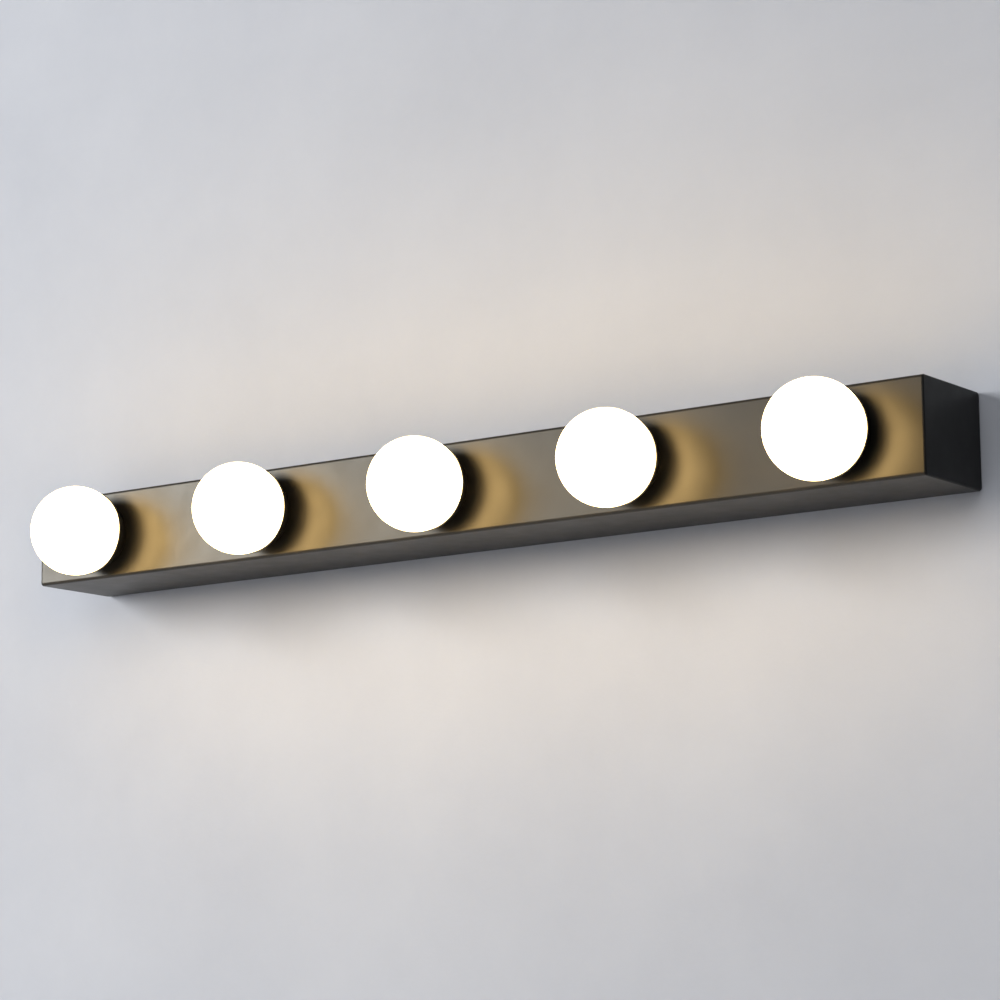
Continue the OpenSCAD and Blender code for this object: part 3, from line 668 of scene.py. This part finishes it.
cuts = []
for sx in (-200.0, 200.0):
    c = bmesh.new()
    k = 16
    pts = arc(sx + 5.4, 0, 2.6, -90, 90, k) + arc(sx - 5.4, 0, 2.6, 90, 270, k)
    lo = [c.verts.new((px * MM, -4 * MM, pz * MM)) for px, pz in pts]
    hi = [c.verts.new((px * MM, 2 * MM, pz * MM)) for px, pz in pts]
    for j in range(len(pts)):
        q = (j + 1) % len(pts)
        c.faces.new((lo[j], lo[q], hi[q], hi[j]))
    c.faces.new(lo)
    c.faces.new(list(reversed(hi)))
    bmesh.ops.recalc_face_normals(c, faces=c.faces)
    cuts.append(c)
cuts.append(cyl_y(0, 0, -4, 2, 10.0, 96))
cuts.append(cyl_y(-60, -12, -4, 2, 2.05, 32))
for sx in (-240.0, 240.0):
    cuts.append(cyl_z(sx, -9.5, bh - 4, bh + 2, 2.3, 40))
    cuts.append(box_bm(sx - 2.3, sx + 2.3, -fd - 2, -9.5, bh - 4, bh + 2))
    # lead-in on the mouth of each slot
    c = bmesh.new()
    lo = [c.verts.new((px * MM, py * MM, (bh - 4) * MM)) for px, py in ((sx - 4.0, -fd - 0.5), (sx + 4.0, -fd - 0.5), (sx + 2.0, -fd + 2.2), (sx - 2.0, -fd + 2.2))]
    hi = [c.verts.new((v.co.x, v.co.y, (bh + 2) * MM)) for v in lo]
    for j in range(4):
        q = (j + 1) % 4
        c.faces.new((lo[j], lo[q], hi[q], hi[j]))
    c.faces.new(lo)
    c.faces.new(list(reversed(hi)))
    bmesh.ops.recalc_face_normals(c, faces=c.faces)
    cuts.append(c)
br = bevelled(cut(prism(bracket_outline(), -280.0, 280.0), cuts), "wall_bracket_pressed", "zinc_steel", 0.18, 2)
place(br, "wall_side", "zinc_steel", "wall_bracket")

gp = [(4.5, 0.0), (9.9, 0.0), (9.9, 1.5), (12.4, 1.5), (12.4, 2.9), (11.8, 3.5), (5.7, 4.5), (4.9, 4.5), (4.5, 4.1)]
gp = fillet(gp, [0.3, 0.3, 0.15, 0.3, 0.5, 0.8, 0.8, 0.3, 0.2], 4)
gz = lambda lx, ly, a: Vector((lx * MM, -a * MM, ly * MM))
place(lathe("cable_grommet_moulded", "rubber_black", gp, 0, 72, angle=50, centre=gz), "wall_side", "rubber_black", "cable_grommet")

# ---------------------------------------------------------------- CAD pieces that stay: softened edges
def softened(node, width, segs=2, angle=35.0):
    ob = frame["nodes"][node]
    w = ob.modifiers.new("weld", "WELD")
    w.merge_threshold = 1e-6
    d = ob.modifiers.new("flat", "DECIMATE")
    d.decimate_type = "DISSOLVE"
    d.angle_limit = math.radians(1.0)
    b = ob.modifiers.new("round", "BEVEL")
    b.width, b.segments = width * MM, segs
    b.limit_method, b.angle_limit = "ANGLE", math.radians(angle)
    b.use_clamp_overlap = True
    n = ob.modifiers.new("even", "WEIGHTED_NORMAL")
    n.keep_sharp = True


softened("clamp_tabs", 0.2)
softened("terminal_block", 0.25)
for node in ("bracket_earth_screw", "lampholder_terminal_screws", "terminal_inserts", "terminal_screws", "weld_studs", "stud_nuts",
             "earth_lug", "lampholder_contacts"):
    softened(node, 0.07)
for i in range(1, 6):
    softened("bulb_%d_led_board" % i, 0.06)
    softened("bulb_%d_driver_board" % i, 0.06)
for node in ("live_wires", "neutral_wires", "earth_wire"):
    ob = frame["nodes"][node]
    w = ob.modifiers.new("weld", "WELD")
    w.merge_threshold = 1e-6
    sb = ob.modifiers.new("round", "SUBSURF")
    sb.levels = sb.render_levels = 1

# ---------------------------------------------------------------- stage
def wall_paint(name, clear_to_light):
    """Matt paint, seen from the room only: from behind, the wall isn't there."""
    mat, nt, bsdf = new_mat(name)
    nt.links.new(mix(nt, remap(nt, noise(nt, 5.0, 6.0, 0.65), 0.0, 1.0, 0.25, 0.75), (0.590, 0.595, 0.620), (0.665, 0.667, 0.685)), bsdf.inputs["Base Color"])
    bsdf.inputs["Roughness"].default_value = 0.85
    bump(nt, bsdf, noise(nt, 260.0, 6.0, 0.65), 0.25, 0.0004)
    out = next(n for n in nt.nodes if n.type == "OUTPUT_MATERIAL")
    fac = nt.nodes.new("ShaderNodeNewGeometry").outputs["Backfacing"]
    if not clear_to_light:
        mul = nt.nodes.new("ShaderNodeMath")
        mul.operation = "MULTIPLY"
        nt.links.new(fac, mul.inputs[0])
        nt.links.new(nt.nodes.new("ShaderNodeLightPath").outputs["Is Camera Ray"], mul.inputs[1])
        fac = mul.outputs[0]
    ms = nt.nodes.new("ShaderNodeMixShader")
    nt.links.new(fac, ms.inputs["Fac"])
    nt.links.new(bsdf.outputs[0], ms.inputs[1])
    nt.links.new(nt.nodes.new("ShaderNodeBsdfTransparent").outputs[0], ms.inputs[2])
    nt.links.new(ms.outputs[0], out.inputs[0])
    return mat


W, Z1, Z0, Y = 6.0, 4.0, -1.3, 0.0003


def wall_piece(name, mat, outer, inner):
    """A flat frame between two rectangles (x0, x1, z0, z1) that face the room."""
    bm = bmesh.new()
    o = [bm.verts.new((x, Y, z)) for x, z in ((outer[0], outer[2]), (outer[1], outer[2]), (outer[1], outer[3]), (outer[0], outer[3]))]
    q = [bm.verts.new((x, Y, z)) for x, z in ((inner[0], inner[2]), (inner[1], inner[2]), (inner[1], inner[3]), (inner[0], inner[3]))]
    for i in range(4):
        j = (i + 1) % 4
        bm.faces.new((o[i], o[j], q[j], q[i]))
    ob = to_ob(bm, name)
    ob.data.materials.append(mat)


wall_piece("wall", wall_paint("wall_paint", False), (-W, W, Z0, Z1), (-0.3475, 0.3475, -0.0285, 0.0285))
wall_piece("wall_behind_bar", wall_paint("wall_paint_behind_bar", True), (-0.3475, 0.3475, -0.0285, 0.0285), (-0.2795, 0.2795, -0.0278, 0.0278))

mat, nt, bsdf = new_mat("floor_paint")
nt.links.new(mix(nt, remap(nt, noise(nt, 3.0, 4.0, 0.6), 0.0, 1.0), (0.60, 0.60, 0.62), (0.66, 0.66, 0.67)), bsdf.inputs["Base Color"])
bsdf.inputs["Roughness"].default_value = 0.7
bsdf.inputs["Emission Color"].default_value = (0.47, 0.475, 0.49, 1.0)
nt.links.new(nt.nodes.new("ShaderNodeLightPath").outputs["Is Camera Ray"], bsdf.inputs["Emission Strength"])
bump(nt, bsdf, noise(nt, 90.0, 5.0), 0.15, 0.0005)
# from underneath, the floor isn't there
ms = nt.nodes.new("ShaderNodeMixShader")
nt.links.new(nt.nodes.new("ShaderNodeNewGeometry").outputs["Backfacing"], ms.inputs["Fac"])
nt.links.new(bsdf.outputs[0], ms.inputs[1])
nt.links.new(nt.nodes.new("ShaderNodeBsdfTransparent").outputs[0], ms.inputs[2])
nt.links.new(ms.outputs[0], next(n for n in nt.nodes if n.type == "OUTPUT_MATERIAL").inputs[0])
bm = bmesh.new()
bm.faces.new([bm.verts.new(p) for p in ((-25.0, -25.0, Z0), (25.0, -25.0, Z0), (25.0, 25.0, Z0), (-25.0, 25.0, Z0))])
floor = to_ob(bm, "floor")
floor.data.materials.append(mat)

# ---------------------------------------------------------------- light
world = bpy.data.worlds.new("world")
scene.world = world
world.use_nodes = True
bg = world.node_tree.nodes["Background"]
bg.inputs["Color"].default_value = (0.80, 0.86, 1.0, 1.0)
bg.inputs["Strength"].default_value = 0.07
wt = world.node_tree
seen = wt.nodes.new("ShaderNodeBackground")
seen.inputs["Color"].default_value = (0.60, 0.61, 0.63, 1.0)
seen.inputs["Strength"].default_value = 1.0
lp = wt.nodes.new("ShaderNodeLightPath")
mx = wt.nodes.new("ShaderNodeMixShader")
wo = next(n for n in wt.nodes if n.type == "OUTPUT_WORLD")
wt.links.new(lp.outputs["Is Camera Ray"], mx.inputs["Fac"])
wt.links.new(bg.outputs[0], mx.inputs[1])
wt.links.new(seen.outputs[0], mx.inputs[2])
wt.links.new(mx.outputs[0], wo.inputs["Surface"])


def area(name, loc, target, size, power, col, size_y=None):
    ld = bpy.data.lights.new(name, "AREA")
    ld.shape = "RECTANGLE" if size_y else "SQUARE"
    ld.size = size
    if size_y:
        ld.size_y = size_y
    ld.energy = power
    ld.color = col
    ob = bpy.data.objects.new(name, ld)
    scene.collection.objects.link(ob)
    ob.location = loc
    ob.rotation_mode = "QUATERNION"
    ob.rotation_quaternion = (Vector(target) - Vector(loc)).to_track_quat("-Z", "Y")
    return ob


area("softbox_left", (-2.9, -2.6, 0.75), (0.0, 0, 0.05), 1.5, 125.0, (0.93, 0.96, 1.0))
area("softbox_front", (0.9, -4.2, 1.6), (0.1, 0, -0.3), 2.4, 40.0, (0.90, 0.94, 1.0))

area("softbox_back_right", (2.2, 2.3, -0.6), (0.0, 0, 0.0), 2.4, 11.0, (0.96, 0.98, 1.0))
area("softbox_back_left", (-1.2, 2.6, 1.7), (0.0, 0, 0.0), 1.6, 70.0, (0.96, 0.98, 1.0))

# the bulbs are lit: each gives its light from the globe's own surface, and goes where its bulb goes
for i, x in enumerate(XS, 1):
    ld = bpy.data.lights.new("glow_%d" % i, "POINT")
    ld.shadow_soft_size = 0.0307
    ld.use_soft_falloff = False
    ld.energy = 0.27
    ld.color = (1.0, 0.69, 0.28)
    ob = bpy.data.objects.new("glow_%d" % i, ld)
    scene.collection.objects.link(ob)
    ob.location = (x * MM, (-D - STAND) * MM, 0.0)
    ob.visible_camera = False
    body = frame["bodies"]["bulb_%d" % i]
    ob.parent = body
    ob.matrix_parent_inverse = body.matrix_world.inverted()

scene.view_settings.view_transform = "Standard"
scene.view_settings.look = "None"
scene.view_settings.exposure = 0.0
